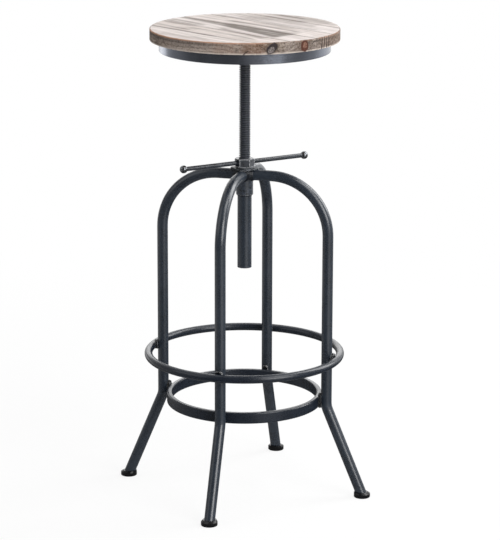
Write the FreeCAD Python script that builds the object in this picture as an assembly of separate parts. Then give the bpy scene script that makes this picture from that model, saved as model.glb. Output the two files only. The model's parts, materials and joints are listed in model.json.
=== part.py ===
"""Bar stool whose round wooden seat screws up and down on a threaded spindle.

Millimetres, +Z up. The origin is on the floor, on the spindle's axis. The four legs stand
on the diagonals, so the front (-Y) is the open bay between two of them.
"""
import FreeCAD
import Part

import math
import os

from FreeCAD import Vector

# Seat boards
seat_height = 833.0  # floor to the top of the seat, with the lock nut tight
seat_diameter = 330.0
seat_thickness = 20.5
seat_top_chamfer = 1.6
seat_bottom_chamfer = 1.0
boards_across = 6.11  # board widths in the seat's diameter
glue_line_shift = 0.13  # from the seat's centre to the nearest glue line, in board widths
glue_lines_each_side = 2  # of that nearest one
board_angle = -75.0  # direction of the grain

# Seat hoop, cross bars and flange
hoop_diameter = 298.0
hoop_height = 19.2
hoop_wall = 4.0
hoop_edge_round = 0.8
bar_width = 30.0
bar_thickness = 4.0
bar_weld_size = 4.0
flange_diameter = 60.0
flange_thickness = 5.0
flange_weld_size = 3.5

# Wood screws, driven up through the cross bars
screw_diameter = 4.0
screw_head_diameter = 8.0
screw_head_height = 2.6
screw_bite = 12.0
screw_hole_gap = 0.25
screw_edge_space = 1.0  # between a screw head and the flange
half_bar_screw_reach = 95.0
half_bar_screw_offset = -8.0  # off the bar's centre line, away from a glue line

# Spindle with a trapezoidal thread
thread_diameter = 20.0
thread_pitch = 4.0
thread_depth = 2.0
thread_flank_angle = 15.0
thread_gap = 0.3  # between the spindle's thread and the collar's or the nut's
spindle_reach = 42.0  # below the collar
spindle_plain_length = 10.0
spindle_chamfer = 1.5

# Stop bolt and loose stop washer under the spindle
stop_bolt_diameter = 8.0
stop_bolt_bite = 16.0
stop_bolt_head_width = 13.0
stop_bolt_head_height = 5.3
stop_washer_thickness = 3.0
running_gap = 0.3

# Hub
collar_diameter = 30.0
collar_length = 44.5
sleeve_wall = 2.0
sleeve_gap = 0.5  # between the thread's crest and the sleeve's bore
sleeve_length = 132.0
sleeve_weld_size = 2.2
plate_side = 37.0
plate_thickness = 2.5
plate_corner_round = 1.5
hub_weld_size = 1.5
hub_weld_reach = 3.0
hub_weld_space = 0.6  # between the weld and the plate above it

# Lock nut with its T-handle
face_gap = 0.1  # between faces that slide on each other
lock_washer_diameter = 31.0
lock_washer_thickness = 2.0
nut_width = 30.0  # across the flats
nut_height = 15.0
nut_chamfer_angle = 30.0
handle_angle = 1.2
handle_rod_diameter = 8.0
handle_reach = 121.8  # spindle axis to the middle of a knob
knob_diameter = 14.0
knob_socket_depth = 5.0
handle_weld_size = 2.2
handle_weld_reach = 4.0

# Legs: horizontal at the hub, vertical below the top bend, splayed below the lower bend
leg_tube_diameter = 19.0
leg_wall = 1.5
leg_radius = 151.4  # spindle axis to the axis of the vertical run
leg_top_height = 574.0
leg_top_bend_radius = 102.0
leg_lower_bend_height = 162.8  # where the vertical and the splayed axis cross
leg_lower_bend_radius = 35.0
leg_splay = 22.8

# Foot rings
outer_ring_diameter = 14.0  # round section
outer_ring_height = 250.0
outer_ring_gap = 2.5  # between leg and ring, filled by the weld
outer_ring_weld_diameter = 11.0
inner_ring_depth = 20.0  # rectangular section, upright
inner_ring_width = 9.0
inner_ring_round = 2.5
inner_ring_height = 169.6
inner_ring_gap = 3.9  # between leg and ring, filled by the weld
inner_ring_weld_width = 9.0
inner_ring_weld_depth = 14.0

# Foot caps
foot_diameter = 29.0
foot_edge_round = 1.2
foot_disc_height = 6.5
foot_cap_height = 9.5
foot_floor = 3.0  # cap under the tube's end
foot_lip = 1.6  # cap round the tube at its upper edge

# Heights and radii that follow from the sizes above
seat_bottom = seat_height - seat_thickness
seat_radius = seat_diameter / 2
board_width = seat_diameter / boards_across
hoop_inner_radius = hoop_diameter / 2 - hoop_wall
bar_bottom = seat_bottom - bar_thickness
flange_radius = flange_diameter / 2
flange_bottom = bar_bottom - flange_thickness
thread_radius = thread_diameter / 2
thread_root_radius = thread_radius - thread_depth
flank_slope = math.tan(math.radians(thread_flank_angle))
crest_land = thread_pitch / 2 - thread_depth * flank_slope
leg_tube_radius = leg_tube_diameter / 2
collar_radius = collar_diameter / 2
collar_top = leg_top_height + leg_tube_radius
collar_bottom = collar_top - collar_length
spindle_bottom = collar_bottom - spindle_reach
sleeve_bore_radius = thread_radius + sleeve_gap
sleeve_radius = sleeve_bore_radius + sleeve_wall
sleeve_bottom = collar_bottom - sleeve_length
plate_top = collar_top + plate_thickness
lock_washer_bottom = plate_top + face_gap
nut_bottom = lock_washer_bottom + lock_washer_thickness + face_gap
nut_middle = nut_bottom + nut_height / 2
rod_radius = handle_rod_diameter / 2
knob_radius = knob_diameter / 2
outer_ring_tube_radius = outer_ring_diameter / 2
outer_ring_radius = leg_radius + leg_tube_radius + outer_ring_gap + outer_ring_tube_radius
inner_ring_radius = leg_radius - leg_tube_radius - inner_ring_gap
inner_ring_bottom = inner_ring_height - inner_ring_depth / 2
splay = math.radians(leg_splay)

UP = Vector(0, 0, 1)
LEG_AZIMUTHS = {"front_left": -135, "front_right": -45, "rear_right": 45, "rear_left": 135}


def export(shape, node):
    """Write one node: a solid, or a group of separate solids."""
    solids = shape.Solids
    whole = solids[0] if len(solids) == 1 else Part.makeCompound(solids)
    whole.exportStep("parts/" + node + ".step")


def turned(shape, degrees):
    """A copy of the shape, turned about the spindle's axis."""
    copy = shape.copy()
    copy.rotate(Vector(), UP, degrees)
    return copy


def cylinder(radius, low, high):
    """An upright cylinder on the spindle's axis."""
    return Part.makeCylinder(radius, high - low, Vector(0, 0, low))


def ring(outer_radius, inner_radius, low, high):
    """An upright ring on the spindle's axis."""
    return cylinder(outer_radius, low, high).cut(cylinder(inner_radius, low, high))


def hexagon(width, low, high):
    """A hexagonal prism on the spindle's axis, with a flat facing +X."""
    corner = width / 2 / math.cos(math.radians(30))
    angles = [math.radians(60 * i + 30) for i in range(7)]
    points = [Vector(corner * math.cos(a), corner * math.sin(a), low) for a in angles]
    return Part.Face(Part.makePolygon(points)).extrude(UP * (high - low))


def edges_at(shape, height):
    """The edges that lie flat at this height."""
    return [e for e in shape.Edges if abs(e.BoundBox.ZMin - height) + abs(e.BoundBox.ZMax - height) < 1e-3]


def threaded_rod(gap, low, high):
    """A helical thread from low to high, grown by gap. Every thread is in step with the spindle's."""
    root_radius = thread_root_radius + gap
    crest_radius = thread_radius + gap
    crest = crest_land + 2 * gap * (1 - flank_slope)
    root = thread_pitch - crest - 2 * thread_depth * flank_slope
    first = (math.floor(low / thread_pitch) - 2) * thread_pitch
    turns = math.ceil((high - first) / thread_pitch) + 2
    profile = [
        (root_radius, first - root / 2),
        (root_radius, first + root / 2),
        (crest_radius, first + thread_pitch / 2 - crest / 2),
        (crest_radius, first + thread_pitch / 2 + crest / 2),
        (root_radius, first + thread_pitch - root / 2),
    ]
    helices = []
    for radius, height in profile:
        helix = Part.makeHelix(thread_pitch, thread_pitch, radius).Edges[0]
        helix.translate(UP * height)
        helices.append(helix)
    one_turn = [Part.makeRuledSurface(a, b) for a, b in zip(helices, helices[1:])]
    axis_low = Vector(0, 0, profile[0][1])
    axis_high = Vector(0, 0, profile[-1][1])
    spiral_end = Part.makeRuledSurface(helices[0], Part.makeLine(axis_low, axis_high))
    outline = [axis_low] + [Vector(r, 0, z) for r, z in profile] + [axis_high, axis_low]
    flat_end = Part.Face(Part.makePolygon(outline))
    faces = []
    for turn in range(turns):
        faces += [face.translated(UP * thread_pitch * turn) for face in one_turn]
    for lift in (0, thread_pitch * turns):
        faces += [face.translated(UP * lift) for face in (spiral_end, flat_end)]
    rod = Part.Solid(Part.Shell(faces))
    if rod.Volume < 0:
        rod.reverse()
    return rod


def leg_path(low):
    """The leg's axis in the XZ plane, from the spindle's axis to a point below the floor."""
    bend_start = Vector(leg_radius - leg_top_bend_radius, 0, leg_top_height)
    bend_end = Vector(leg_radius, 0, leg_top_height - leg_top_bend_radius)
    half = math.sqrt(0.5) * leg_top_bend_radius
    bend_middle = Vector(bend_start.x + half, 0, bend_end.z + half)
    down = Vector(math.sin(splay), 0, -math.cos(splay))
    crossing = Vector(leg_radius, 0, leg_lower_bend_height)
    tangent = leg_lower_bend_radius * math.tan(splay / 2)
    lower_start = crossing + UP * tangent
    lower_end = crossing + down * tangent
    inward = Vector(-math.cos(splay / 2), 0, -math.sin(splay / 2))
    lower_middle = lower_start + Vector(leg_lower_bend_radius, 0, 0) + inward * leg_lower_bend_radius
    tip = crossing + down * ((leg_lower_bend_height - low) / math.cos(splay))
    return Part.Wire([
        Part.LineSegment(Vector(0, 0, leg_top_height), bend_start).toShape(),
        Part.Arc(bend_start, bend_middle, bend_end).toShape(),
        Part.LineSegment(bend_end, lower_start).toShape(),
        Part.Arc(lower_start, lower_middle, lower_end).toShape(),
        Part.LineSegment(lower_end, tip).toShape(),
    ])


def leg_rod(radius):
    """A solid rod along the leg's axis, ending well below the floor."""
    section = Part.Circle(Vector(0, 0, leg_top_height), Vector(1, 0, 0), radius).toShape()
    return leg_path(-leg_tube_diameter).makePipeShell([Part.Wire(section)], True, False)


def leg_axis_radius(height):
    """How far the splayed part of the leg's axis is from the spindle's axis at a height."""
    return leg_radius + (leg_lower_bend_height - height) * math.tan(splay)


# One leg, its foot cap and its welds, all in the XZ plane
leg_outside = leg_rod(leg_tube_radius)
below_tube_end = cylinder(2 * (leg_radius + leg_lower_bend_height), -4 * leg_tube_diameter, foot_floor)
leg = leg_outside.cut(leg_rod(leg_tube_radius - leg_wall))
leg = leg.cut(cylinder(collar_radius, collar_bottom, collar_top)).cut(below_tube_end)


def foot_cap():
    """A low disc on the floor, drawn in to a lip round the splayed tube."""
    disc_axis = leg_axis_radius(foot_disc_height / 2)
    disc = Part.makeCylinder(foot_diameter / 2, foot_disc_height, Vector(disc_axis, 0, 0))
    disc = disc.makeFillet(foot_edge_round, edges_at(disc, 0))
    shoulder_low = Part.Circle(Vector(disc_axis, 0, foot_disc_height), UP, foot_diameter / 2)
    lip_radius = leg_tube_radius / math.cos(splay) + foot_lip
    shoulder_high = Part.Circle(Vector(leg_axis_radius(foot_cap_height), 0, foot_cap_height), UP, lip_radius)
    shoulder = Part.makeLoft([Part.Wire(c.toShape()) for c in (shoulder_low, shoulder_high)], True, True)
    return disc.fuse(shoulder).cut(leg_outside.cut(below_tube_end))


def hub_weld():
    """A fillet of weld round the tube where it meets the collar."""
    tip = collar_radius + hub_weld_reach
    base = math.sqrt(collar_radius ** 2 - leg_tube_radius ** 2) - hub_weld_size
    base_radius = leg_tube_radius + (tip - base) * hub_weld_size / hub_weld_reach
    section = [(base, leg_tube_radius), (base, base_radius), (tip, leg_tube_radius)]
    corners = [Vector(x, 0, leg_top_height + radius) for x, radius in section]
    bead = Part.Face(Part.makePolygon(corners + corners[:1]))
    bead = bead.revolve(Vector(0, 0, leg_top_height), Vector(1, 0, 0), 360)
    bead = bead.cut(cylinder(collar_radius, collar_bottom, collar_top))
    side = 2 * tip
    quarter = [Vector(), Vector(side, -side, 0), Vector(side, side, 0), Vector()]
    quarter = Part.Face(Part.makePolygon(quarter)).extrude(UP * (collar_top - hub_weld_space))
    return bead.common(quarter)


def outer_ring_weld():
    """A round neck of weld between the leg and the outer ring."""
    start = Vector(leg_radius, 0, outer_ring_height)
    length = outer_ring_radius - leg_radius
    neck = Part.makeCylinder(outer_ring_weld_diameter / 2, length, start, Vector(1, 0, 0))
    return neck.cut(leg_outside).cut(outer_ring)


def inner_ring_weld():
    """An upright bead of weld between the inner ring and the leg."""
    straight = inner_ring_weld_depth / 2 - inner_ring_weld_width / 2
    length = leg_radius - inner_ring_radius + inner_ring_width
    start = Vector(inner_ring_radius - inner_ring_width / 2, 0, inner_ring_height - straight)
    end = start + UP * 2 * straight
    across = Vector(1, 0, 0)
    block_corner = start - Vector(0, inner_ring_weld_width / 2, 0)
    bead = Part.makeBox(length, inner_ring_weld_width, 2 * straight, block_corner)
    for point in (start, end):
        bead = bead.fuse(Part.makeCylinder(inner_ring_weld_width / 2, length, point, across))
    bead = bead.cut(cylinder(inner_ring_radius, inner_ring_bottom, inner_ring_bottom + inner_ring_depth))
    return bead.cut(leg_outside)


# Foot rings
outer_ring = Part.makeTorus(outer_ring_radius, outer_ring_tube_radius, Vector(0, 0, outer_ring_height))
inner_ring_top = inner_ring_bottom + inner_ring_depth
inner_ring = ring(inner_ring_radius, inner_ring_radius - inner_ring_width, inner_ring_bottom, inner_ring_top)
inner_ring_edges = edges_at(inner_ring, inner_ring_bottom) + edges_at(inner_ring, inner_ring_top)
inner_ring = inner_ring.makeFillet(inner_ring_round, inner_ring_edges)

# Hub
collar = cylinder(collar_radius, collar_bottom, collar_top)
collar = collar.cut(threaded_rod(thread_gap, collar_bottom, collar_top))
sleeve = ring(sleeve_radius, sleeve_bore_radius, sleeve_bottom, collar_bottom)
sleeve_weld_low = collar_bottom - sleeve_weld_size
sleeve_weld = Part.makeCone(
    sleeve_radius, sleeve_radius + sleeve_weld_size, sleeve_weld_size, Vector(0, 0, sleeve_weld_low)
)
sleeve_weld = sleeve_weld.cut(cylinder(sleeve_radius, sleeve_weld_low, collar_bottom))
plate_corner = Vector(-plate_side / 2, -plate_side / 2, collar_top)
plate = Part.makeBox(plate_side, plate_side, plate_thickness, plate_corner)
plate_corners = [e for e in plate.Edges if e.BoundBox.ZLength > plate_thickness / 2]
plate = plate.makeFillet(plate_corner_round, plate_corners)
plate = plate.cut(cylinder(sleeve_bore_radius, collar_top, plate_top))

# Lock nut with its T-handle
lock_washer_top = lock_washer_bottom + lock_washer_thickness
lock_washer = ring(lock_washer_diameter / 2, sleeve_bore_radius, lock_washer_bottom, lock_washer_top)


def lock_nut():
    """A hexagon nut, its corners chamfered at both ends."""
    nut_top = nut_bottom + nut_height
    corner = nut_width / 2 / math.cos(math.radians(30))
    rise = (corner - nut_width / 2) * math.tan(math.radians(nut_chamfer_angle))
    middle = cylinder(corner, nut_bottom + rise, nut_top - rise)
    lower = Part.makeCone(nut_width / 2, corner, rise, Vector(0, 0, nut_bottom))
    upper = Part.makeCone(corner, nut_width / 2, rise, Vector(0, 0, nut_top - rise))
    turned_blank = middle.fuse([lower, upper])
    blank = hexagon(nut_width, nut_bottom, nut_top).common(turned_blank)
    return turned(blank, handle_angle).cut(threaded_rod(thread_gap, nut_bottom, nut_top))


across_handle = Vector(1, 0, 0)
rod_start = Vector(nut_width / 2, 0, nut_middle)
rod_length = handle_reach - knob_radius + knob_socket_depth - nut_width / 2
handle_rod = Part.makeCylinder(rod_radius, rod_length, rod_start, across_handle)
knob = Part.makeSphere(knob_radius, Vector(handle_reach, 0, nut_middle)).cut(handle_rod)
handle_weld_radius = rod_radius + handle_weld_size
handle_weld = Part.makeCone(handle_weld_radius, rod_radius, handle_weld_reach, rod_start, across_handle)
handle_weld = handle_weld.cut(handle_rod)


def spindle():
    """A threaded rod, plain at its upper end, chamfered and drilled for the stop bolt at its lower end."""
    thread_top = flange_bottom - spindle_plain_length
    tip_radius = thread_radius - spindle_chamfer
    tip = Part.makeCone(tip_radius, thread_radius, spindle_chamfer, Vector(0, 0, spindle_bottom))
    envelope = tip.fuse(cylinder(thread_radius + thread_gap, spindle_bottom + spindle_chamfer, thread_top))
    thread = threaded_rod(0, spindle_bottom, thread_top).common(envelope)
    rod = thread.fuse(cylinder(thread_radius, thread_top, flange_bottom))
    return rod.cut(cylinder(stop_bolt_diameter / 2, spindle_bottom, spindle_bottom + stop_bolt_bite))


# Stop bolt and washer
stop_washer_top = spindle_bottom - running_gap
stop_washer_bottom = stop_washer_top - stop_washer_thickness
stop_washer_radius = sleeve_bore_radius - running_gap
stop_washer_bore = stop_bolt_diameter / 2 + running_gap
stop_washer = ring(stop_washer_radius, stop_washer_bore, stop_washer_bottom, stop_washer_top)
stop_head_top = stop_washer_bottom - running_gap
stop_bolt = hexagon(stop_bolt_head_width, stop_head_top - stop_bolt_head_height, stop_head_top)
stop_bolt = stop_bolt.fuse(cylinder(stop_bolt_diameter / 2, stop_head_top, spindle_bottom + stop_bolt_bite))

# Seat hoop and the bars inside it; local X runs across the boards, local Y along the grain
across_boards = board_angle + 90
hoop = ring(hoop_diameter / 2, hoop_inner_radius, seat_bottom - hoop_height, seat_bottom)
hoop = hoop.makeFillet(hoop_edge_round, edges_at(hoop, seat_bottom - hoop_height))
inside_hoop = cylinder(hoop_inner_radius, seat_bottom - hoop_height, seat_bottom)
long_bar = Part.makeBox(
    2 * hoop_diameter, bar_width, bar_thickness, Vector(-hoop_diameter, -bar_width / 2, bar_bottom)
).common(inside_hoop)
half_bar = Part.makeBox(
    bar_width, hoop_diameter, bar_thickness, Vector(-bar_width / 2, bar_width / 2, bar_bottom)
).common(inside_hoop)
flange = cylinder(flange_radius, flange_bottom, bar_bottom)
flange_weld_low = flange_bottom - flange_weld_size
flange_weld = Part.makeCone(
    thread_radius, thread_radius + flange_weld_size, flange_weld_size, Vector(0, 0, flange_weld_low)
)
flange_weld = flange_weld.cut(cylinder(thread_radius, flange_weld_low, flange_bottom))


def bar_weld():
    """A fillet of weld under the end of a cross bar, against the hoop."""
    inner = math.sqrt(hoop_inner_radius ** 2 - (bar_width / 2) ** 2) - bar_weld_size
    corners = [
        Vector(inner, -bar_width / 2, bar_bottom),
        Vector(hoop_diameter / 2, -bar_width / 2, bar_bottom),
        Vector(hoop_diameter / 2, -bar_width / 2, bar_bottom - hoop_diameter / 2 + inner),
        Vector(inner, -bar_width / 2, bar_bottom),
    ]
    wedge = Part.Face(Part.makePolygon(corners)).extrude(Vector(0, bar_width, 0))
    return wedge.common(inside_hoop)


def board_edges():
    """The glue lines and the two outer limits, measured across the boards from the seat's centre."""
    steps = range(-glue_lines_each_side, glue_lines_each_side + 1)
    glue_lines = [(glue_line_shift + step) * board_width for step in steps]
    return [-seat_radius] + glue_lines + [seat_radius]


def screw_points(edges):
    """Where the screws go: one in each board along the long bar, and one in each half bar."""
    clear_of_flange = flange_radius + screw_head_diameter / 2 + screw_edge_space
    clear_of_hoop = hoop_inner_radius - bar_weld_size - screw_head_diameter
    points = []
    for low, high in zip(edges, edges[1:]):
        middle = (low + high) / 2
        reach = min(max(abs(middle), clear_of_flange), clear_of_hoop)
        points.append(Vector(math.copysign(reach, middle), 0, 0))
    for side in (1, -1):
        points.append(Vector(half_bar_screw_offset, side * half_bar_screw_reach, 0))
    return points


def screw(point):
    """A pan-head wood screw under a cross bar."""
    head = Part.makeCylinder(
        screw_head_diameter / 2, screw_head_height, Vector(point.x, point.y, bar_bottom - screw_head_height)
    )
    shank = Part.makeCylinder(
        screw_diameter / 2, bar_thickness + screw_bite, Vector(point.x, point.y, bar_bottom)
    )
    return head.fuse(shank)


edges = board_edges()
points = screw_points(edges)
screws = Part.makeCompound([screw(point) for point in points])
bar_holes = Part.makeCompound([
    Part.makeCylinder(
        screw_diameter / 2 + screw_hole_gap, bar_thickness, Vector(point.x, point.y, bar_bottom)
    )
    for point in points
])
seat = cylinder(seat_radius, seat_bottom, seat_height)
seat = seat.makeChamfer(seat_top_chamfer, edges_at(seat, seat_height))
seat = seat.makeChamfer(seat_bottom_chamfer, edges_at(seat, seat_bottom))
seat = seat.cut(screws)
boards = []
cuts = [-seat_diameter] + edges[1:-1] + [seat_diameter]
for low, high in zip(cuts, cuts[1:]):
    strip_corner = Vector(low, -seat_diameter, seat_bottom - seat_thickness)
    strip = Part.makeBox(high - low, 2 * seat_diameter, 3 * seat_thickness, strip_corner)
    boards.append(seat.common(strip))

# Write every node
os.makedirs("parts", exist_ok=True)

for name, azimuth in LEG_AZIMUTHS.items():
    export(turned(leg, azimuth), "leg_" + name)
    export(turned(foot_cap(), azimuth), "foot_cap_" + name)
azimuths = LEG_AZIMUTHS.values()
export(Part.makeCompound([turned(hub_weld(), azimuth) for azimuth in azimuths]), "leg_hub_welds")
export(Part.makeCompound([turned(outer_ring_weld(), azimuth) for azimuth in azimuths]), "outer_ring_welds")
export(Part.makeCompound([turned(inner_ring_weld(), azimuth) for azimuth in azimuths]), "inner_ring_welds")
export(outer_ring, "outer_foot_ring")
export(inner_ring, "inner_foot_ring")
export(collar, "hub_collar")
export(plate, "hub_top_plate")
export(sleeve, "screw_sleeve")
export(sleeve_weld, "sleeve_weld")

export(lock_washer, "lock_washer")
export(lock_nut(), "lock_nut")
for name, side in (("right", 0), ("left", 180)):
    export(turned(handle_rod, handle_angle + side), "handle_rod_" + name)
    export(turned(knob, handle_angle + side), "handle_knob_" + name)
handle_welds = [turned(handle_weld, handle_angle + side) for side in (0, 180)]
export(Part.makeCompound(handle_welds), "handle_welds")

export(stop_washer, "stop_washer")
export(stop_bolt, "stop_bolt")
export(spindle(), "spindle")
export(flange, "spindle_flange")
export(flange_weld, "spindle_flange_weld")
export(hoop, "seat_hoop")
export(turned(long_bar.cut(bar_holes), across_boards), "cross_bar_long")
for name, side in (("front", 180), ("rear", 0)):
    placed = turned(half_bar, side).cut(bar_holes)
    export(turned(placed, across_boards), "cross_bar_" + name)
bar_welds = [turned(bar_weld(), across_boards + quarter * 90) for quarter in range(4)]
export(Part.makeCompound(bar_welds), "cross_bar_welds")
export(turned(screws, across_boards), "wood_screws")
for number, board in enumerate(boards, 1):
    export(turned(board, across_boards), "seat_board_" + str(number))
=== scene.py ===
"""Bar stool with a weathered plank seat on a screw spindle: materials, wood, welds and studio.

Metres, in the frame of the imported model: +Z up, the origin on the floor under the spindle.
"""
import json
import math

import bmesh
import bpy
import numpy as np
from mathutils import Matrix, Vector, noise


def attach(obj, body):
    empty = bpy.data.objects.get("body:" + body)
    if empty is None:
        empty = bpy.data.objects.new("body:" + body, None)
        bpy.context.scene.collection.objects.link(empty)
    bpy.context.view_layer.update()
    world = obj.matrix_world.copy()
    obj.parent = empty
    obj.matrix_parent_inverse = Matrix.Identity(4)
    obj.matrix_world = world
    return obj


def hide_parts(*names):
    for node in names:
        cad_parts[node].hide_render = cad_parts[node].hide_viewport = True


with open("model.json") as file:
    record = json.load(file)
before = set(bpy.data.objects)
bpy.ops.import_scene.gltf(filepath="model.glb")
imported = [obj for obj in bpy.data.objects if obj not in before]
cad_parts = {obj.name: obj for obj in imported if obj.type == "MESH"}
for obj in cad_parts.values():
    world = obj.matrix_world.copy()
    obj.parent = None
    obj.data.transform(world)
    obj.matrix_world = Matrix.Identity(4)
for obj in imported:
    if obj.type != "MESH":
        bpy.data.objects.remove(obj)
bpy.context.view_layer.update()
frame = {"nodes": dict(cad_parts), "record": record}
nodes = frame["nodes"]
scene = bpy.context.scene
scene.view_settings.view_transform = "Standard"
MM = 0.001

# Camera: where the photograph was taken from
CAMERA_PLACE = Vector((-2.1691, -3.8986, 1.5401))
CAMERA_HEADING = math.radians(60.783)
CAMERA_PITCH = math.radians(14.323)
CAMERA_ROLL = math.radians(0.142)
FOCAL_PIXELS = 2606.56
FRAME_PIXELS = 540
SENSOR_MM = 36.0
CLIP_END = 50


def make_camera():
    ahead = Vector((
        math.cos(CAMERA_HEADING) * math.cos(CAMERA_PITCH),
        math.sin(CAMERA_HEADING) * math.cos(CAMERA_PITCH),
        -math.sin(CAMERA_PITCH),
    ))
    right = ahead.cross(Vector((0, 0, 1))).normalized()
    up = right.cross(ahead)
    data = bpy.data.cameras.new("camera")
    data.sensor_width = SENSOR_MM
    data.lens = FOCAL_PIXELS * SENSOR_MM / FRAME_PIXELS
    data.clip_end = CLIP_END
    camera = bpy.data.objects.new("camera", data)
    turn = Matrix((right, up, -ahead)).transposed().to_4x4()
    camera.matrix_world = Matrix.Translation(CAMERA_PLACE) @ turn @ Matrix.Rotation(CAMERA_ROLL, 4, "Z")
    scene.collection.objects.link(camera)
    scene.camera = camera


make_camera()


# Shader helpers
def add_node(tree, kind, inputs=None, **settings):
    """A new node with its settings, and its inputs set to values or linked to other sockets."""
    made = tree.nodes.new("ShaderNode" + kind)
    for key, value in settings.items():
        setattr(made, key, value)
    for key, value in (inputs or {}).items():
        if isinstance(value, bpy.types.NodeSocket):
            tree.links.new(value, made.inputs[key])
        else:
            made.inputs[key].default_value = value
    return made


def maths(tree, operation, a, b=0.0, clamp=False):
    return add_node(tree, "Math", {0: a, 1: b}, operation=operation, use_clamp=clamp).outputs[0]


def blend_colours(tree, share, a, b):
    made = add_node(tree, "Mix", data_type="RGBA")
    for index, value in ((0, share), (6, a), (7, b)):
        if isinstance(value, bpy.types.NodeSocket):
            tree.links.new(value, made.inputs[index])
        else:
            made.inputs[index].default_value = value
    return made.outputs[2]


def ramp(tree, value, low, high, to_low=0.0, to_high=1.0):
    """value, mapped smoothly from low..high to to_low..to_high."""
    inputs = {"Value": value, "From Min": low, "From Max": high, "To Min": to_low, "To Max": to_high}
    return add_node(tree, "MapRange", inputs, interpolation_type="SMOOTHSTEP").outputs[0]


def speckle(tree, place, scale, detail=2.0, roughness=0.5):
    inputs = {"Vector": place, "Scale": scale, "Detail": detail, "Roughness": roughness}
    return add_node(tree, "TexNoise", inputs).outputs["Fac"]


def object_place(tree):
    return add_node(tree, "TexCoord").outputs["Object"]


def grey(r, g=None, b=None):
    return (r, r if g is None else g, r if b is None else b, 1.0)


def new_material(name):
    material = bpy.data.materials.new(name)
    material.use_nodes = True
    return material, material.node_tree, material.node_tree.nodes["Principled BSDF"]


# Metals and plastic. ROUGH_NOISE is the noise's detail and roughness, and scales are features per metre
ROUGH_NOISE = (3.0, 0.6)
STEEL_PITS = 620.0
THREAD_PITS = 700.0
PLASTIC_GRAIN = 420.0
CLOUD_SHARE = 0.55
PIT_DEPTH = 0.25 * MM
THREAD_PIT_DEPTH = 0.2 * MM
GRAIN_DEPTH = 0.2 * MM
THREAD_ROOT = 8 * MM
THREAD_CREST = 10 * MM


def edge_share(tree, radius):
    """How near a sharp edge is, from 0 on a face to 1 on the edge."""
    rounded = add_node(tree, "Bevel", {"Radius": radius}, samples=4).outputs[0]
    normal = add_node(tree, "NewGeometry").outputs["Normal"]
    alike = add_node(tree, "VectorMath", {0: rounded, 1: normal}, operation="DOT_PRODUCT").outputs["Value"]
    return ramp(tree, alike, 0.995, 0.86)


def steel(name, colour, roughness=0.28, mottle=0.2, patch=38 * MM, metallic=0.0, bump=0.05,
          worn=(0.3, 0.31, 0.33), wear_and_glints=0.0, wear_and_glint_reach=0.7 * MM, gloss=0.8):
    """Blackened steel under lacquer: mottled in patches, faintly pitted, light along its edges: rubbed
    bright, and on the ring welds painted glints.
    """
    material, tree, shader = new_material(name)
    place = object_place(tree)
    cloud = speckle(tree, place, 1 / patch, *ROUGH_NOISE)
    fine = speckle(tree, place, STEEL_PITS, *ROUGH_NOISE)
    broad = maths(tree, "MULTIPLY", cloud, CLOUD_SHARE)
    tint = maths(tree, "ADD", broad, maths(tree, "MULTIPLY", fine, 1 - CLOUD_SHARE))
    dark = grey(*[c * (1 - mottle) for c in colour])
    light = grey(*[c * (1 + mottle) for c in colour])
    base = blend_colours(tree, ramp(tree, tint, 0.34, 0.66), dark, light)
    rough = ramp(tree, tint, 0.3, 0.7, roughness - 0.04, roughness + 0.05)
    # Light edges: rubbed wear, and painted glints on the ring welds
    if wear_and_glints:
        rubbed = maths(tree, "MULTIPLY", edge_share(tree, wear_and_glint_reach), ramp(tree, fine, 0.3, 0.55), True)
        rubbed = maths(tree, "MULTIPLY", rubbed, wear_and_glints, True)
        base = blend_colours(tree, rubbed, base, grey(*worn))
    tree.links.new(base, shader.inputs["Base Color"])
    tree.links.new(rough, shader.inputs["Roughness"])
    shader.inputs["Metallic"].default_value = metallic
    shader.inputs["Specular IOR Level"].default_value = gloss
    pits = add_node(tree, "Bump", {"Strength": bump, "Distance": PIT_DEPTH, "Height": fine})
    tree.links.new(pits.outputs[0], shader.inputs["Normal"])
    return material


def thread_steel(name, colour, crest):
    """Cut thread: dark in the roots, rubbed lighter on the crests."""
    material, tree, shader = new_material(name)
    place = object_place(tree)
    split = add_node(tree, "SeparateXYZ", {0: place})
    squares = [maths(tree, "POWER", split.outputs[axis], 2.0) for axis in (0, 1)]
    radius = maths(tree, "SQRT", maths(tree, "ADD", *squares))
    fine = speckle(tree, place, THREAD_PITS, *ROUGH_NOISE)
    height = ramp(tree, radius, THREAD_ROOT, THREAD_CREST)
    share = maths(tree, "MULTIPLY", height, ramp(tree, fine, 0.25, 0.6))
    base = blend_colours(tree, share, grey(*colour), grey(*crest))
    tree.links.new(base, shader.inputs["Base Color"])
    tree.links.new(ramp(tree, fine, 0.3, 0.7, 0.3, 0.44), shader.inputs["Roughness"])
    pits = add_node(tree, "Bump", {"Strength": 0.12, "Distance": THREAD_PIT_DEPTH, "Height": fine})
    tree.links.new(pits.outputs[0], shader.inputs["Normal"])
    return material


def plastic(name, colour):
    """Moulded plastic with faint scuffs."""
    material, tree, shader = new_material(name)
    place = object_place(tree)
    fine = speckle(tree, place, PLASTIC_GRAIN, *ROUGH_NOISE)
    dark = grey(*[c * 0.7 for c in colour])
    light = grey(*[c * 1.4 for c in colour])
    tree.links.new(blend_colours(tree, fine, dark, light), shader.inputs["Base Color"])
    tree.links.new(ramp(tree, fine, 0.3, 0.7, 0.18, 0.28), shader.inputs["Roughness"])
    shader.inputs["Specular IOR Level"].default_value = 0.28
    grain = add_node(tree, "Bump", {"Strength": 0.06, "Distance": GRAIN_DEPTH, "Height": fine})
    tree.links.new(grain.outputs[0], shader.inputs["Normal"])
    return material


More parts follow.
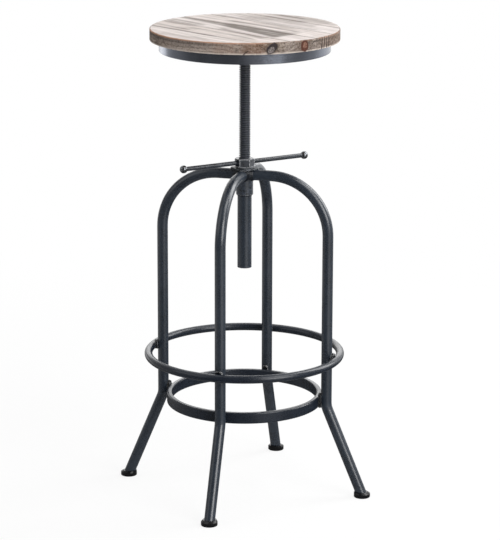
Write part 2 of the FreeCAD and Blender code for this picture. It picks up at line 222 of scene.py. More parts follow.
STEELS = {
    "dark_steel": dict(colour=(0.0162, 0.0232, 0.0346), bump=0.035),
    "ring_steel": dict(colour=(0.009, 0.0135, 0.0225), mottle=0.12, bump=0.03, gloss=0.56),
    "collar_steel": dict(colour=(0.021, 0.027, 0.038), mottle=0.6, patch=6 * MM,
                         wear_and_glints=0.9, wear_and_glint_reach=1.6 * MM, worn=(0.34, 0.35, 0.38)),
    "plate_steel": dict(colour=(0.02, 0.024, 0.03), roughness=0.45, mottle=0.6, patch=8 * MM, gloss=0.1,
                        wear_and_glints=0.9, wear_and_glint_reach=1.2 * MM, worn=(0.42, 0.43, 0.45)),
    "weld_metal": dict(colour=(0.006, 0.008, 0.012), roughness=0.3, mottle=0.6, patch=4 * MM, bump=0.2,
                       gloss=0.3),
    # Ring welds: the light specks of their worn colour are painted glints
    "ring_weld": dict(colour=(0.004, 0.005, 0.0065), roughness=0.2, mottle=0.6, patch=4 * MM, bump=0.3,
                      gloss=0.9, wear_and_glints=0.85, wear_and_glint_reach=1.4 * MM, worn=(0.55, 0.58, 0.63)),
    "worn_steel": dict(colour=(0.04, 0.044, 0.05), roughness=0.3, mottle=0.5, wear_and_glints=1.0),
    "nut_steel": dict(colour=(0.034, 0.038, 0.046), roughness=0.3, mottle=0.6, patch=7 * MM, bump=0.2,
                      wear_and_glints=1.0, wear_and_glint_reach=2.4 * MM, worn=(0.8, 0.81, 0.84)),
    "rod_steel": dict(colour=(0.024, 0.029, 0.038), roughness=0.24, mottle=0.4, patch=12 * MM, gloss=1.0),
    "knob_steel": dict(colour=(0.2, 0.208, 0.22), roughness=0.2, mottle=0.4, patch=9 * MM,
                       metallic=1.0, bump=0.04),
    "hoop_steel": dict(colour=(0.275, 0.295, 0.345), roughness=0.2, mottle=0.06, metallic=1.0, bump=0.01),
}
looks = {name: steel(name, **settings) for name, settings in STEELS.items()}
looks["thread_steel"] = thread_steel("thread_steel", (0.014, 0.0165, 0.022), (0.066, 0.073, 0.09))
looks["black_plastic"] = plastic("black_plastic", (0.004, 0.004, 0.005))
# Nodes whose look isn't the one that their slot is named for
SPECIAL_LOOKS = {
    "outer_foot_ring": "ring_steel",
    "inner_foot_ring": "ring_steel",
    "hub_collar": "collar_steel",
    "hub_top_plate": "plate_steel",
    "lock_nut": "nut_steel",
    "handle_rod_left": "rod_steel",
    "handle_rod_right": "rod_steel",
    "handle_knob_left": "knob_steel",
    "handle_knob_right": "knob_steel",
}


def dress(piece, look):
    piece.data.materials.clear()
    piece.data.materials.append(look)


for row in frame["record"]["subparts"]:
    slot = row["material_slot"]
    if slot != "weathered_wood":
        dress(nodes[row["node"]], looks[SPECIAL_LOOKS.get(row["node"], slot)])


# Seat boards. n runs across the boards, t along the grain, both from the spindle's axis, in millimetres
SEAT_RADIUS = 165.0
SEAT_LOW = 812.5
SEAT_TOP = 833.0
GRAIN_TURN = math.radians(15)
GLUE_LINES = [-101.0, -47.0, 7.0, 61.0, 115.0]
JOINT_GAP = 0.12
ROW_STEP = 1.25
COLUMN_STEP = 4.0
WALL_STEPS = 22
LOW_ROUND = 1.0
TOP_ROUND = 2.0
TOP_ROUND_STEPS = 5
SEAT_SEGMENTS = 288

# Grey-brown streaks on the top: from (n, t) to (n, t), half width, strength
STREAKS = [
    (-99, 132, -103, -30, 5.5, 0.68),
    (-80, 140, -84, 52, 6.0, 0.46),
    (-66, 66, -68, 18, 5.0, 0.49),
    (-52, 150, -54, 76, 4.5, 0.54),
    (-40, 152, -43, 76, 5.0, 0.59),
    (-25, 156, -30, 74, 6.0, 0.62),
    (2, 162, -2, 70, 7.0, 0.75),
    (-40, 18, -57, -104, 7.5, 0.68),
    (-68, 12, -75, -102, 5.0, 0.46),
    (-104, -20, -100, -90, 6.0, 0.27),
    (36, 74, 33, -102, 6.5, 0.62),
    (66, 132, 69, -102, 7.0, 0.43),
    (50, 30, 52, -70, 5.0, 0.30),
    (118, 62, 118, -28, 7.0, 0.59),
    (146, 66, 142, -6, 6.0, 0.65),
    (146, -10, 130, -95, 9.0, 0.32),
    (-130, -8, -138, -52, 8.0, 0.35),
    (98, 124, 96, 26, 5.0, 0.27),
    (-142, 60, -146, -10, 5.0, 0.19),
    (30, 150, 30, 96, 6.0, 0.27),
]
# Broad dark wedges, the last one partly painted shade on the right of the top: from t with its n limits, to t
# with its n limits, strength
WEDGES = [
    (92, -6, 14, -110, -40, 19, 0.92),
    (60, -14, -2, -110, -40, -16, 0.24),
    (40, 4, 16, -112, -6, 17, 0.21),
    # The last wedge: partly a darker grey patch, partly painted shade on the right of the top
    (110, 76, 168, -70, 86, 168, 0.28),
]
# Heart of each board's growth rings: n, height
RING_HEARTS = [(-150, 760), (-70, 912), (-12, 742), (30, 896), (92, 752), (150, 780)]
RING_PERIOD = 6.5 * MM
# Knots on the rim: angle in the seat, height, half length, half width, lean in degrees, heart's offset
# and kind
KNOTS = [
    (-118.2, 822.6, 11.0, 6.8, 40.0, (-2.4, -1.6), "knot_dark"),
    (-96.6, 822.7, 9.2, 7.4, 86.0, (0.8, -0.8), "knot_red"),
    (64.0, 823.0, 8.0, 6.0, 20.0, (1.5, 1.0), "knot_dark"),
    (-3.0, 822.0, 9.0, 5.5, 10.0, (-1.0, 0.5), "knot_red"),
]
KNOT_HEART = 0.6
# Cracks in the rim: strength, and points of angle in the seat and height
CRACKS = [
    (1.6, [(-135.0, 812.6), (-133.6, 816.8), (-132.2, 819.0)]),
    (0.35, [(-112.3, 815.4), (-107.6, 825.0), (-100.8, 826.2)]),
    (0.3, [(-107.6, 825.0), (-104.5, 817.0), (-102.5, 814.2)]),
    (0.9, [(-126.0, 829.4), (-123.0, 822.2), (-121.5, 818.0)]),
    (1.3, [(-91.0, 824.0), (-88.6, 828.6), (-85.5, 827.0), (-83.6, 830.4)]),
    (2.2, [(-82.2, 813.6), (-81.4, 831.0)]),
    (2.0, [(-79.6, 814.0), (-79.0, 831.5)]),
    (2.2, [(-76.9, 813.6), (-76.6, 830.0)]),
    (2.0, [(-74.6, 814.5), (-74.2, 831.5)]),
    (1.2, [(-70.1, 813.5), (-69.8, 828.0)]),
    (0.4, [(-144.0, 826.0), (-139.0, 818.0)]),
    (0.8, [(57.4, 813.0), (58.4, 824.0), (57.8, 832.6)]),
    (0.6, [(84.0, 814.0), (84.8, 829.0)]),
    (0.7, [(96.4, 816.0), (97.4, 831.5)]),
    (0.8, [(121.0, 813.0), (121.9, 822.0), (121.2, 830.0)]),
]
# Tints along the rim, with painted shade and painted light among them: middle angle, half width, strength
WARM_AND_SHADE_ZONES = [
    (-129.0, 9.0, 0.5), (-146.0, 8.0, 0.3), (-101.0, 3.0, 0.2), (40.0, 9.0, 0.5), (105.0, 8.0, 0.5),
    # Painted shade: the zone at -62 darkens the right side of the rim
    (-62.0, 22.0, 0.28),
]
PALE_AND_LIT_ZONES = [
    # The zones at -142 and -165 are partly pale wood and partly painted light on the left of the rim
    (-106.0, 5.0, 0.75), (-78.0, 4.5, 0.6), (-88.0, 3.5, 0.6), (-142.0, 8.0, 0.45), (-165.0, 30.0, 1.0),
    (75.0, 9.0, 0.5),
]
# Sides of the rim: middle angle, and how far from it the side begins to fade and is gone
ORANGE_SIDE = (-175, 36, 66)
SHADED_SIDE = (-70, 30, 46)


def smooth(low, high, value):
    share = np.clip((value - low) / (high - low), 0, 1)
    return share * share * (3 - 2 * share)


def field(points, scales, seed, octaves=2):
    """Smooth noise at the points, from about -1 to 1, with its own scale along each axis."""
    shift = Vector((seed * 17.31, seed * -9.17, seed * 5.73))
    scaled = points * np.array(scales)
    total = np.zeros(len(points))
    weight = 1.0
    for octave in range(octaves):
        total += weight * np.array([noise.noise(Vector(p) * 2 ** octave + shift) for p in scaled])
        weight *= 0.5
    return total


def seat_disc():
    """The whole seat as one closed mesh in (n, t, z), its edges rounded, in millimetres."""
    profile = []
    for i in range(3):
        a = math.radians(45 * i)
        radius = SEAT_RADIUS - LOW_ROUND + LOW_ROUND * math.sin(a)
        profile.append((radius, SEAT_LOW + LOW_ROUND * (1 - math.cos(a))))
    wall_low, wall_high = SEAT_LOW + LOW_ROUND, SEAT_TOP - TOP_ROUND
    rise = (wall_high - wall_low) / WALL_STEPS
    profile += [(SEAT_RADIUS, wall_low + rise * i) for i in range(1, WALL_STEPS)]
    for i in range(TOP_ROUND_STEPS + 1):
        a = math.radians(90 * i / TOP_ROUND_STEPS)
        radius = SEAT_RADIUS - TOP_ROUND * (1 - math.cos(a))
        profile.append((radius, wall_high + TOP_ROUND * math.sin(a)))
    disc = bmesh.new()
    angles = [2 * math.pi * k / SEAT_SEGMENTS for k in range(SEAT_SEGMENTS)]
    rings = []
    for radius, height in profile:
        rings.append([disc.verts.new((radius * math.cos(a), radius * math.sin(a), height)) for a in angles])
    for lower, upper in zip(rings, rings[1:]):
        for k in range(SEAT_SEGMENTS):
            j = (k + 1) % SEAT_SEGMENTS
            disc.faces.new((lower[k], lower[j], upper[j], upper[k]))
    disc.faces.new(rings[0][::-1])
    disc.faces.new(rings[-1])
    return disc


def slice_mesh(mesh, place, normal, drop=False):
    geometry = mesh.verts[:] + mesh.edges[:] + mesh.faces[:]
    bmesh.ops.bisect_plane(mesh, geom=geometry, dist=1e-4, plane_co=place, plane_no=normal, clear_outer=drop)


def close_holes(mesh):
    rim = [e for e in mesh.edges if len(e.link_faces) == 1]
    bmesh.ops.holes_fill(mesh, edges=rim)


def board_mesh(disc, low, high):
    """One board: the disc between two glue lines, cut into a fine grid along the grain."""
    mesh = disc.copy()
    for place, side in ((low, -1), (high, 1)):
        if place is not None:
            slice_mesh(mesh, (place - side * JOINT_GAP, 0, 0), (side, 0, 0), drop=True)
            close_holes(mesh)
    start = -SEAT_RADIUS if low is None else low
    end = SEAT_RADIUS if high is None else high
    rows = int((end - start) / ROW_STEP)
    for i in range(1, rows):
        slice_mesh(mesh, (start + (end - start) * i / rows, 0, 0), (1, 0, 0))
    columns = int(2 * SEAT_RADIUS / COLUMN_STEP)
    for i in range(1, columns):
        slice_mesh(mesh, (0, -SEAT_RADIUS + 2 * SEAT_RADIUS * i / columns, 0), (0, 1, 0))
    return mesh


def streak_tone(points, seed):
    """Strength of the grey-brown streaks and dark wedges at the points of the top; one wedge is partly
    painted shade.
    """
    wander = field(points, (1 / 30, 1 / 70, 0), seed + 1) * 2.5
    fray = 1 + 0.5 * field(points, (1 / 4.0, 1 / 55, 0), seed + 2)
    across, along = points[:, 0] + wander, points[:, 1]
    tone = np.zeros(len(points))
    for n0, t0, n1, t1, half, strength in STREAKS:
        share = np.clip((t0 - along) / (t0 - t1), 0, 1)
        off = (across - (n0 + (n1 - n0) * share)) / half
        end = smooth(t1 - 14, t1 + 10, along) * (1 - smooth(t0 - 10, t0 + 14, along))
        mark = strength * np.exp(-np.abs(off) ** 2.2) * end * fray
        tone = np.maximum(tone, mark) + 0.25 * np.minimum(tone, mark)
    for t0, left0, right0, t1, left1, right1, strength in WEDGES:
        share = np.clip((t0 - along) / (t0 - t1), 0, 1)
        left = left0 + (left1 - left0) * share
        right = right0 + (right1 - right0) * share
        inside = smooth(left - 5, left + 6, across) * (1 - smooth(right - 7, right + 5, across))
        end = smooth(t1 - 8, t1 + 8, along) * (1 - smooth(t0 - 60, t0 + 16, along))
        tone = tone + strength * inside * end * fray * (1 - 0.6 * tone)
    return tone


def rim_offset(angle, place):
    """How far round the rim the points are from a place given by its angle, in millimetres."""
    return np.radians((angle - place + 180) % 360 - 180) * SEAT_RADIUS


def crack_distance(angle, z):
    """Distance from the nearest crack in the rim, in millimetres, up to a limit."""
    nearest = np.full(len(z), 4.0)
    for strength, points in CRACKS:
        for (angle0, z0), (angle1, z1) in zip(points, points[1:]):
            side, up = rim_offset(angle, angle0), z - z0
            run, rise = math.radians(angle1 - angle0) * SEAT_RADIUS, z1 - z0
            share = np.clip((side * run + up * rise) / (run * run + rise * rise), 0, 1)
            gap = np.hypot(side - share * run, up - share * rise) + 0.7 * (1 - strength)
            nearest = np.minimum(nearest, gap)
    return nearest


def knot_distance(angle, z, kind):
    """Distances from the nearest knot's middle and from its heart, where 1 is the outline, up to a limit."""
    outline, heart = np.full(len(z), 2.0), np.full(len(z), 2.0)
    for place, height, half_long, half_wide, lean, offset, knot_kind in KNOTS:
        if knot_kind == kind:
            side, up = rim_offset(angle, place), z - height
            c, s = math.cos(math.radians(lean)), math.sin(math.radians(lean))
            long, wide = (side * c + up * s) / half_long, (up * c - side * s) / half_wide
            outline = np.minimum(outline, (np.abs(long) ** 2.6 + np.abs(wide) ** 2.6) ** (1 / 2.6))
            long, wide = long - offset[0] / half_long, wide - offset[1] / half_wide
            heart = np.minimum(heart, np.hypot(long, wide) / KNOT_HEART)
    return outline, heart


def side_share(angle, place, full, gone):
    """1 near an angle of the rim, fading to 0 away from it."""
    return 1 - smooth(full, gone, np.abs((angle - place + 180) % 360 - 180))


def zone_strength(angle, zones):
    total = np.zeros(len(angle))
    for place, half, strength in zones:
        total = np.maximum(total, strength * side_share(angle, place, 0.5 * half, 1.3 * half))
    return total


def finish_board(number, mesh, low, high):
    """Wears the board's surface, stores its marks, and makes it a piece in the row frame."""
    mesh.verts.ensure_lookup_table()
    points = np.array([v.co for v in mesh.verts])
    n, t, z = points.T
    radius = np.hypot(n, t)
    angle = np.degrees(np.arctan2(t, n))
    outward = np.stack([n, t, 0 * n], 1) / np.maximum(radius, 1e-6)[:, None]
    on_top = smooth(SEAT_TOP - 1.2, SEAT_TOP - 0.2, z)
    on_rim = smooth(SEAT_RADIUS - 2.6, SEAT_RADIUS - 0.6, radius)
    fibre = field(points, (1 / 2.0, 1 / 60, 1 / 3), number)
    swell = field(points, (1 / 13, 1 / 150, 1 / 20), number + 20)
    dent = field(points, (1 / 9, 1 / 9, 1 / 7), 40)
    chew = field(points, (1 / 3.2, 1 / 3.2, 1 / 2.4), 41, 1)
    broad = field(points, (1 / 45, 1 / 45, 1 / 60), 42)
    tone = streak_tone(points, number)
    edge = np.full(len(points), 1e3)
    for line in (low, high):
        if line is not None:
            edge = np.minimum(edge, np.abs(n - line))
    joint = on_top * np.clip(1 - edge / 1.5, 0, 1) ** 1.5
    # Cracks and knots stop a few millimetres in from the rim
    inside = 1 - smooth(SEAT_RADIUS - 8, SEAT_RADIUS - 3, radius)
    crack = crack_distance(angle, z) + 0.35 * chew + 4 * inside
    deep = 4 * (1 - smooth(SEAT_RADIUS - 9, SEAT_RADIUS - 4, radius))
    knots = {}
    for kind in ("knot_dark", "knot_red"):
        outline, heart = knot_distance(angle, z, kind)
        knots[kind] = outline + 0.07 * chew + 0.08 * dent + deep
        knots[kind + "_heart"] = heart
    inside_knot = 1 - smooth(0.9, 1.1, np.minimum(knots["knot_dark"], knots["knot_red"]))
    height = (z - SEAT_LOW) / (SEAT_TOP - SEAT_LOW)
    long_grain = smooth(0.72, 0.96, np.abs(n) / np.maximum(radius, 1e-6))
    orange = side_share(angle, *ORANGE_SIDE)
    right_side = side_share(angle, *SHADED_SIDE)
    left_side = smooth(0.15, 0.9, -n / SEAT_RADIUS) * (1 - smooth(0.2, 0.8, -t / SEAT_RADIUS))
    shade = (0.15 * long_grain + 0.5 * left_side) * smooth(0.3, 0.9, height + 0.08 * dent) + 0.42 * right_side
    # How far the wood is worn down on top and in at the rim
    drop = on_top * (0.10 + 0.09 * fibre + 0.10 * swell + 0.22 * tone + 0.55 * joint)
    pull = on_rim * (0.16 + 0.12 * dent + 0.08 * chew + 0.2 * inside_knot)
    pull += on_rim * 0.8 * (1 - smooth(0.2, 1.2, crack))
    pull += on_rim * smooth(SEAT_TOP - 4, SEAT_TOP, z) * np.clip(0.25 + 0.5 * dent, 0, 0.8)
    worn_edge = smooth(SEAT_TOP - 3.4, SEAT_TOP - 0.9, z)
    worn_edge = worn_edge * smooth(SEAT_RADIUS - 3.4, SEAT_RADIUS - 0.9, radius)
    marks = {
        "tone": tone,
        "joint": joint,
        "crack": crack,
        **knots,
        # warm is warm wood, and on the right of the rim painted shade
        "warm": np.clip(zone_strength(angle, WARM_AND_SHADE_ZONES) + 0.15 * broad, 0, 1),
        # light is pale wood, and on the left of the rim painted light
        "light": np.clip(zone_strength(angle, PALE_AND_LIT_ZONES) + 0.15 * swell, 0, 1),
        "shade": np.clip(shade, 0, 1),
        "rubbed": worn_edge * np.clip(0.12 + 0.68 * orange + 0.45 * broad + 0.3 * chew, 0, 1),
        "sanded": on_rim * (1 - smooth(0.05, 0.16, height)) * np.clip(0.85 + 0.4 * dent, 0, 1),
    }
    points = points - outward * np.maximum(pull, 0)[:, None]
    points[:, 2] -= np.maximum(drop, 0)
    for vert, place in zip(mesh.verts, points):
        vert.co = place
    bmesh.ops.recalc_face_normals(mesh, faces=mesh.faces)
    data = bpy.data.meshes.new("wood_board_%d" % number)
    mesh.to_mesh(data)
    for name, values in marks.items():
        data.attributes.new(name, "FLOAT", "POINT").data.foreach_set("value", values.astype(np.float32))
    data.transform(Matrix.Rotation(GRAIN_TURN, 4, "Z") @ Matrix.Scale(MM, 4))
    for face in data.polygons:
        face.use_smooth = True
    piece = bpy.data.objects.new("wood_board_%d" % number, data)
    scene.collection.objects.link(piece)
    return piece


# Colours of the wood, by where they show
TINTS = {
    "top_dark": (0.655, 0.597, 0.577),
    "top_light": (0.775, 0.719, 0.70),
    "top_warm": (0.66, 0.55, 0.47),
    "top_band": (0.34, 0.295, 0.265),
    "top_ring": (0.33, 0.275, 0.235),
    "top_streak": (0.175, 0.152, 0.135),
    "top_strand": (0.27, 0.23, 0.20),
    "top_fibre": (0.30, 0.25, 0.215),
    "top_joint": (0.13, 0.105, 0.09),
    "rim_light": (0.34, 0.28, 0.235),
    "rim_dark": (0.115, 0.086, 0.066),
    "rim_pale_and_lit": (0.44, 0.37, 0.325),
    "rim_ring": (0.105, 0.075, 0.056),
    "rim_warm_and_shade": (0.20, 0.102, 0.06),
    "rim_shade": (0.07, 0.056, 0.05),
    "rim_fleck": (0.06, 0.045, 0.037),
    "rim_chip": (0.46, 0.395, 0.345),
    "rim_sanded": (0.62, 0.54, 0.48),
    "rim_rubbed": (0.52, 0.29, 0.185),
    "under_dark": (0.30, 0.245, 0.20),
    "under_light": (0.42, 0.35, 0.295),
    "under_band": (0.15, 0.115, 0.09),
    "under_ring": (0.13, 0.095, 0.07),
    "under_dash": (0.085, 0.066, 0.054),
    "under_fibre": (0.14, 0.108, 0.086),
    "knot_dark_line": (0.034, 0.027, 0.028),
    "knot_dark_early": (0.27, 0.235, 0.22),
    "knot_dark_late": (0.075, 0.062, 0.062),
    "knot_red_line": (0.075, 0.027, 0.017),
    "knot_red_early": (0.23, 0.12, 0.085),
    "knot_red_late": (0.13, 0.06, 0.04),
    "crack": (0.045, 0.033, 0.027),
}
# How far each board's noise is moved on from the last board's
BOARD_SHIFT = (0.173, 0.311, 0.057)
RELIEF_DEPTH = 0.35 * MM


def wood(number):
    """Weathered, brushed softwood: pale with grey-brown streaks on top, browner on the rim and below."""
    material, tree, shader = new_material("weathered_wood_%d" % number)
    turned = {"Vector": object_place(tree), "Angle": -GRAIN_TURN}
    local = add_node(tree, "VectorRotate", turned, rotation_type="Z_AXIS").outputs[0]
    shift = tuple(number * step for step in BOARD_SHIFT)

    def grain(along, across, upright, detail, roughness=0.55):
        """Noise drawn out along the grain. The first three numbers are lengths in millimetres."""
        size = tuple(1 / (length * MM) for length in (across, along, upright))
        scaled = {0: local, 1: size, 2: shift}
        place = add_node(tree, "VectorMath", scaled, operation="MULTIPLY_ADD").outputs[0]
        return speckle(tree, place, 1.0, detail, roughness)

    def mark(name):
        return add_node(tree, "Attribute", attribute_name=name).outputs["Fac"]

    def times(a, b):
        return maths(tree, "MULTIPLY", a, b, True)

    def mixed(share, tint, other):
        return blend_colours(tree, share, grey(*TINTS[tint]), grey(*TINTS[other]))

    def over(colour, share, tint):
        return blend_colours(tree, share, colour, grey(*TINTS[tint]))

    fibre = grain(28, 0.55, 0.8, 3.0)
    strand = grain(75, 2.2, 2.6, 3.0)
    band = grain(95, 5.5, 6.0, 3.0, 0.6)
    dash = grain(60, 6.5, 9.0, 2.0)
    cloud = grain(150, 20, 18, 2.0)
    fleck = grain(2.4, 2.4, 1.7, 3.0, 0.6)
    blot = grain(9, 9, 5.5, 3.0, 0.65)
    heart_n, heart_z = RING_HEARTS[number - 1]
    centred = {0: local, 1: (1.0, 0.04, 1.0), 2: (-heart_n * MM, 0, -heart_z * MM)}
    rings = add_node(tree, "TexWave", {
        "Vector": add_node(tree, "VectorMath", centred, operation="MULTIPLY_ADD").outputs[0],
        "Scale": math.pi / 10 / RING_PERIOD,
        "Distortion": 3.0,
        "Detail": 2.0,
        "Detail Scale": 0.6,
    }, wave_type="RINGS", rings_direction="Y").outputs["Fac"]
    upward = add_node(tree, "SeparateXYZ", {0: add_node(tree, "NewGeometry").outputs["Normal"]}).outputs[2]
    top_share = ramp(tree, upward, 0.8, 0.97)
    under_share = ramp(tree, upward, -0.8, -0.97)

    top = mixed(ramp(tree, cloud, 0.3, 0.7), "top_dark", "top_light")
    top = over(top, 0.2 * ((number * 7 % 5) / 4), "top_warm")
    top = over(top, times(ramp(tree, band, 0.42, 0.70), 0.6), "top_band")
    top = over(top, times(ramp(tree, rings, 0.45, 0.95), 0.16), "top_ring")
    # Streaks and dark wedges, one wedge partly painted shade
    streak = maths(tree, "ADD", mark("tone"), times(ramp(tree, dash, 0.56, 0.70), 0.30), True)
    top = over(top, streak, "top_streak")
    top = over(top, times(ramp(tree, strand, 0.55, 0.72), 0.32), "top_strand")
    top = over(top, times(ramp(tree, fibre, 0.52, 0.72), 0.25), "top_fibre")
    top = over(top, times(mark("joint"), 0.6), "top_joint")

    rim = mixed(ramp(tree, blot, 0.37, 0.6), "rim_light", "rim_dark")
    # Pale wood, and painted light on the left of the rim
    rim = over(rim, times(mark("light"), 0.8), "rim_pale_and_lit")
    rim = over(rim, times(ramp(tree, rings, 0.4, 0.9), 0.45), "rim_ring")
    # Warm wood, and painted shade on the right side of the rim
    rim = over(rim, mark("warm"), "rim_warm_and_shade")
    rim = over(rim, mark("shade"), "rim_shade")
    rim = over(rim, times(ramp(tree, fleck, 0.51, 0.66), 0.8), "rim_fleck")
    rim = over(rim, times(ramp(tree, fleck, 0.47, 0.30), 0.5), "rim_chip")
    rim = over(rim, times(mark("sanded"), 0.85), "rim_sanded")
    rim = over(rim, mark("rubbed"), "rim_rubbed")

    under = mixed(ramp(tree, cloud, 0.3, 0.7), "under_dark", "under_light")
    under = over(under, times(ramp(tree, band, 0.42, 0.70), 0.6), "under_band")
    under = over(under, times(ramp(tree, rings, 0.45, 0.95), 0.3), "under_ring")
    under = over(under, times(ramp(tree, dash, 0.56, 0.70), 0.4), "under_dash")
    under = over(under, times(ramp(tree, fibre, 0.50, 0.70), 0.4), "under_fibre")
    colour = blend_colours(tree, top_share, rim, top)
    colour = blend_colours(tree, under_share, colour, under)

    frayed = maths(tree, "MULTIPLY", maths(tree, "SUBTRACT", fleck, 0.5), 0.9)
    for kind in ("knot_dark", "knot_red"):
        distance = maths(tree, "ADD", mark(kind), maths(tree, "MULTIPLY", frayed, 0.6))
        heart = maths(tree, "ADD", mark(kind + "_heart"), frayed)
        core = mixed(ramp(tree, fleck, 0.44, 0.56), kind + "_early", kind + "_late")
        core = blend_colours(tree, ramp(tree, heart, 1.15, 0.75), grey(*TINTS[kind + "_line"]), core)
        colour = blend_colours(tree, ramp(tree, distance, 1.14, 0.92), colour, core)
    split = maths(tree, "ADD", mark("crack"), frayed)
    colour = over(colour, times(ramp(tree, split, 0.95, 0.3), 0.85), "crack")
    tree.links.new(colour, shader.inputs["Base Color"])
    tree.links.new(ramp(tree, strand, 0.3, 0.7, 0.62, 0.8), shader.inputs["Roughness"])
    shader.inputs["Specular IOR Level"].default_value = 0.18
    relief = maths(tree, "ADD", times(fibre, 0.6), times(strand, 0.4))
    bump = add_node(tree, "Bump", {"Strength": 0.5, "Distance": RELIEF_DEPTH, "Height": relief})
    tree.links.new(bump.outputs[0], shader.inputs["Normal"])
    return material


def make_boards():
    disc = seat_disc()
    limits = [None] + GLUE_LINES + [None]
    for number, (low, high) in enumerate(zip(limits, limits[1:]), 1):
        piece = finish_board(number, board_mesh(disc, low, high), low, high)
        dress(piece, wood(number))
        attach(piece, "seat")
        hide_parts("seat_board_%d" % number)


make_boards()


# Welds: the solids, swollen and rippled like laid beads. Ripples are given as features per metre
MERGE_REACH = 0.01 * MM
SOFTENING = 0.5
SOFTENING_PASSES = 4
BROAD_RIPPLE = 420
FINE_RIPPLE = 1100
FINE_RIPPLE_SHARE = 0.5


def draw_out(data, sideways, upward, downward):
    """Widens each of the four beads at the legs about its own middle, but not towards the leg."""
    beads = {}
    for vert in data.vertices:
        beads.setdefault((vert.co.x > 0, vert.co.y > 0), []).append(vert)
    for verts in beads.values():
        middle = sum((v.co for v in verts), Vector()) / len(verts)
        outward = Vector((middle.x, middle.y, 0)).normalized()
        for vert in verts:
            off = vert.co - middle
            inline = outward * off.dot(outward)
            rise = Vector((0, 0, off.z))
            stretched = rise * (upward if off.z > 0 else downward)
            vert.co = middle + inline + stretched + (off - inline - rise) * sideways


def weld_bead(node, body, swell, ripple, voxel=0.55 * MM, look="weld_metal",
              sideways=1.0, upward=1.0, downward=1.0):
    """Replaces a node of welds. Its loose edges are joined first, so that it stays closed as it swells."""
    work = bpy.data.objects.new("work", nodes[node].data.copy())
    scene.collection.objects.link(work)
    close = work.modifiers.new("close", "WELD")
    close.merge_threshold = MERGE_REACH
    grow = work.modifiers.new("grow", "DISPLACE")
    grow.strength = swell
    grow.mid_level = 0.0
    melt = work.modifiers.new("melt", "REMESH")
    melt.mode = "VOXEL"
    melt.voxel_size = voxel
    soften = work.modifiers.new("soften", "SMOOTH")
    soften.factor = SOFTENING
    soften.iterations = SOFTENING_PASSES
    bpy.context.view_layer.update()
    shaped = work.evaluated_get(bpy.context.evaluated_depsgraph_get())
    data = bpy.data.meshes.new_from_object(shaped)
    bpy.data.objects.remove(work)
    if upward > 1:
        draw_out(data, sideways, upward, downward)
    normals = [v.normal.copy() for v in data.vertices]
    for vert, normal in zip(data.vertices, normals):
        lump = noise.noise(vert.co * BROAD_RIPPLE) + FINE_RIPPLE_SHARE * noise.noise(vert.co * FINE_RIPPLE)
        vert.co += normal * lump * ripple
    for face in data.polygons:
        face.use_smooth = True
    piece = bpy.data.objects.new(node + "_bead", data)
    scene.collection.objects.link(piece)
    dress(piece, looks[look])
    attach(piece, body)
    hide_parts(node)


weld_bead("outer_ring_welds", "frame", 0.8 * MM, 0.9 * MM, look="ring_weld", sideways=1.4, upward=1.9)
weld_bead("inner_ring_welds", "frame", 1.0 * MM, 0.8 * MM, look="ring_weld",
          sideways=1.2, upward=2.2, downward=1.4)
weld_bead("leg_hub_welds", "frame", 0.25 * MM, 0.25 * MM)
weld_bead("sleeve_weld", "frame", 0.3 * MM, 0.25 * MM, 0.4 * MM)
weld_bead("handle_welds", "lock_nut", 0.3 * MM, 0.25 * MM, 0.4 * MM)


# Studio: white floor and surroundings, darker on the camera's side for gloss, and seven soft lamps.
# Distances from the stool are in metres
TOWARDS_CAMERA = Vector((CAMERA_PLACE.x, CAMERA_PLACE.y, 0)).normalized()
RIGHT_OF_CAMERA = Vector((-TOWARDS_CAMERA.y, TOWARDS_CAMERA.x, 0))
WORLD_LIGHT = 0.26
FLOOR_WHITE = 0.86
# Under the stool gloss sees less of the lamps' light on the floor
CLOSE_REACH = 0.55
CLOSE_SHARE = 0.3
UNDER_LEVEL = 0.25
UNDER_EDGE = (0.24, 0.46)
# Where gloss passes from the near floor to the far one, and where the camera's view of it turns plain white
FAR_EDGE = (2.0, 2.7)
WHITE_EDGE = (0.5, 1.8)
PAPER_WHITE = 0.9
FLOOR_HALF = 15.0
FLOOR_DROP = 0.0002
LAMP_TARGET = Vector((0, 0, 0.45))
# How bright gloss sees the floor near the stool, the floor far from it and the surroundings:
# by the angle round the stool from the camera's side, right positive
NEAR_LEVELS = [
    (-180, 0.12), (-145, 0.25), (-118, 0.65), (-90, 0.65), (-60, 0.40), (-36, 0.22), (-14, 0.12), (6, 0.25),
    (20, 1.0), (42, 1.0), (58, 0.5), (86, 0.3), (118, 0.25), (145, 0.2), (180, 0.12),
]
FAR_LEVELS = [
    (-180, 1.0), (-140, 1.0), (-125, 0.6), (-110, 0.34), (-80, 0.17), (-60, 0.10), (-4, 0.12), (8, 0.27),
    (24, 0.30), (45, 0.27), (80, 0.28), (105, 0.45), (120, 0.8), (135, 1.0), (180, 1.0),
]
WORLD_LEVELS = [
    (-180, 1.0), (-155, 0.8), (-120, 0.35), (-90, 0.25), (-45, 0.15), (0, 0.12), (45, 0.2), (90, 0.45),
    (120, 0.75), (150, 0.95), (180, 1.0),
]
# Lamps: angle to the right of the camera, angle above the floor, distance, size and watts
LAMPS = {
    "key_softbox": (52, 54, 2.6, (1.4, 1.2), 20),
    "window_softbox": (39, 17.6, 5.8, (3.2, 3.4), 185),
    "side_softbox": (112, 34, 2.6, (1.3, 2.3), 50),
    "fill_softbox": (-70, 30, 4.0, (3.0, 3.0), 20),
    "top_softbox": (-150, 76, 2.4, (2.0, 2.0), 11),
    "back_softbox": (180, 14, 3.0, (3.0, 0.7), 13),
    "low_back_softbox": (-140, -4, 3.6, (1.6, 0.4), 1.5),
}


def along(tree, place, way):
    return add_node(tree, "VectorMath", {0: place, 1: way}, operation="DOT_PRODUCT").outputs["Value"]


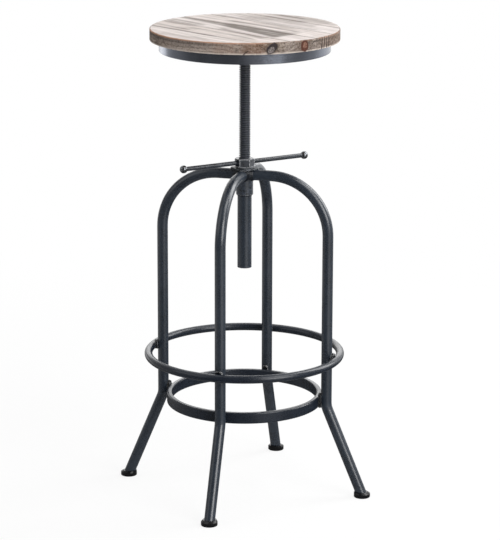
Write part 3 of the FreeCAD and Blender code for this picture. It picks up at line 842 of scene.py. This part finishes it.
def level_round(tree, place, levels):
    """A level that depends on the angle round the stool."""
    turn = maths(tree, "ARCTAN2", along(tree, place, RIGHT_OF_CAMERA), along(tree, place, TOWARDS_CAMERA))
    share = maths(tree, "ADD", maths(tree, "DIVIDE", turn, 2 * math.pi), 0.5)
    scale = add_node(tree, "ValToRGB", {"Fac": share})
    marks = scale.color_ramp.elements
    stops = [((angle + 180) / 360, grey(level)) for angle, level in levels]
    for mark, (position, colour) in zip(marks, (stops[0], stops[-1])):
        mark.position, mark.color = position, colour
    for position, colour in stops[1:-1]:
        marks.new(position).color = colour
    return scale.outputs["Color"]


def make_world():
    world = bpy.data.worlds.new("studio")
    scene.world = world
    world.use_nodes = True
    tree = world.node_tree
    path = add_node(tree, "LightPath").outputs
    way = add_node(tree, "TexCoord").outputs["Generated"]
    gloss = level_round(tree, way, WORLD_LEVELS)
    mirrored = maths(tree, "MAXIMUM", path["Is Glossy Ray"], path["Is Transmission Ray"])
    level = add_node(tree, "Mix", {0: mirrored, 2: WORLD_LIGHT, 3: gloss}).outputs[0]
    level = maths(tree, "MAXIMUM", level, path["Is Camera Ray"])
    tree.links.new(level, tree.nodes["Background"].inputs["Strength"])
    tree.nodes["Background"].inputs["Color"].default_value = grey(1.0)


def make_floor():
    mesh = bmesh.new()
    bmesh.ops.create_grid(mesh, x_segments=4, y_segments=4, size=FLOOR_HALF)
    data = bpy.data.meshes.new("floor")
    mesh.to_mesh(data)
    floor = bpy.data.objects.new("floor", data)
    floor.location.z = -FLOOR_DROP
    scene.collection.objects.link(floor)
    material, tree, shader = new_material("floor")
    tree.nodes.remove(shader)
    path = add_node(tree, "LightPath").outputs
    place = add_node(tree, "NewGeometry").outputs
    mirrored = maths(tree, "MAXIMUM", path["Is Glossy Ray"], path["Is Transmission Ray"])
    reach = add_node(tree, "VectorMath", {0: place["Position"]}, operation="LENGTH").outputs["Value"]
    near = level_round(tree, place["Position"], NEAR_LEVELS)
    far = level_round(tree, place["Position"], FAR_LEVELS)
    near = maths(tree, "MULTIPLY", near, ramp(tree, reach, CLOSE_REACH, 2 * CLOSE_REACH, CLOSE_SHARE, 1.0))
    near = add_node(tree, "Mix", {0: ramp(tree, reach, *UNDER_EDGE), 2: UNDER_LEVEL, 3: near}).outputs[0]
    gloss = add_node(tree, "Mix", {0: ramp(tree, reach, *FAR_EDGE), 2: near, 3: far}).outputs[0]
    glow_level = maths(tree, "MAXIMUM", gloss, path["Is Camera Ray"])
    glow = add_node(tree, "Emission", {"Strength": glow_level}).outputs[0]
    paper = add_node(tree, "BsdfDiffuse", {"Color": grey(PAPER_WHITE)}).outputs[0]
    white = ramp(tree, reach, *WHITE_EDGE, FLOOR_WHITE, 1.0)
    share = maths(tree, "MAXIMUM", mirrored, maths(tree, "MULTIPLY", path["Is Camera Ray"], white))
    lit = add_node(tree, "MixShader", {0: share, 1: paper, 2: glow}).outputs[0]
    clear = add_node(tree, "BsdfTransparent").outputs[0]
    sided = add_node(tree, "MixShader", {0: place["Backfacing"], 1: lit, 2: clear}).outputs[0]
    tree.links.new(sided, tree.nodes["Material Output"].inputs["Surface"])
    dress(floor, material)


def make_lamp(name, side, height, distance, size, watts):
    """A softbox that faces the stool and stays out of the camera's sight."""
    a, e = math.radians(side), math.radians(height)
    flat = TOWARDS_CAMERA * math.cos(a) + RIGHT_OF_CAMERA * math.sin(a)
    data = bpy.data.lights.new(name, "AREA")
    data.shape = "RECTANGLE"
    data.size, data.size_y = size
    data.energy = watts
    lamp = bpy.data.objects.new(name, data)
    back = flat * math.cos(e) + Vector((0, 0, math.sin(e)))
    lamp.location = LAMP_TARGET + back * distance
    lamp.rotation_euler = (-back).to_track_quat("-Z", "Y").to_euler()
    lamp.visible_camera = False
    scene.collection.objects.link(lamp)


make_world()
make_floor()
for name, settings in LAMPS.items():
    make_lamp(name, *settings)
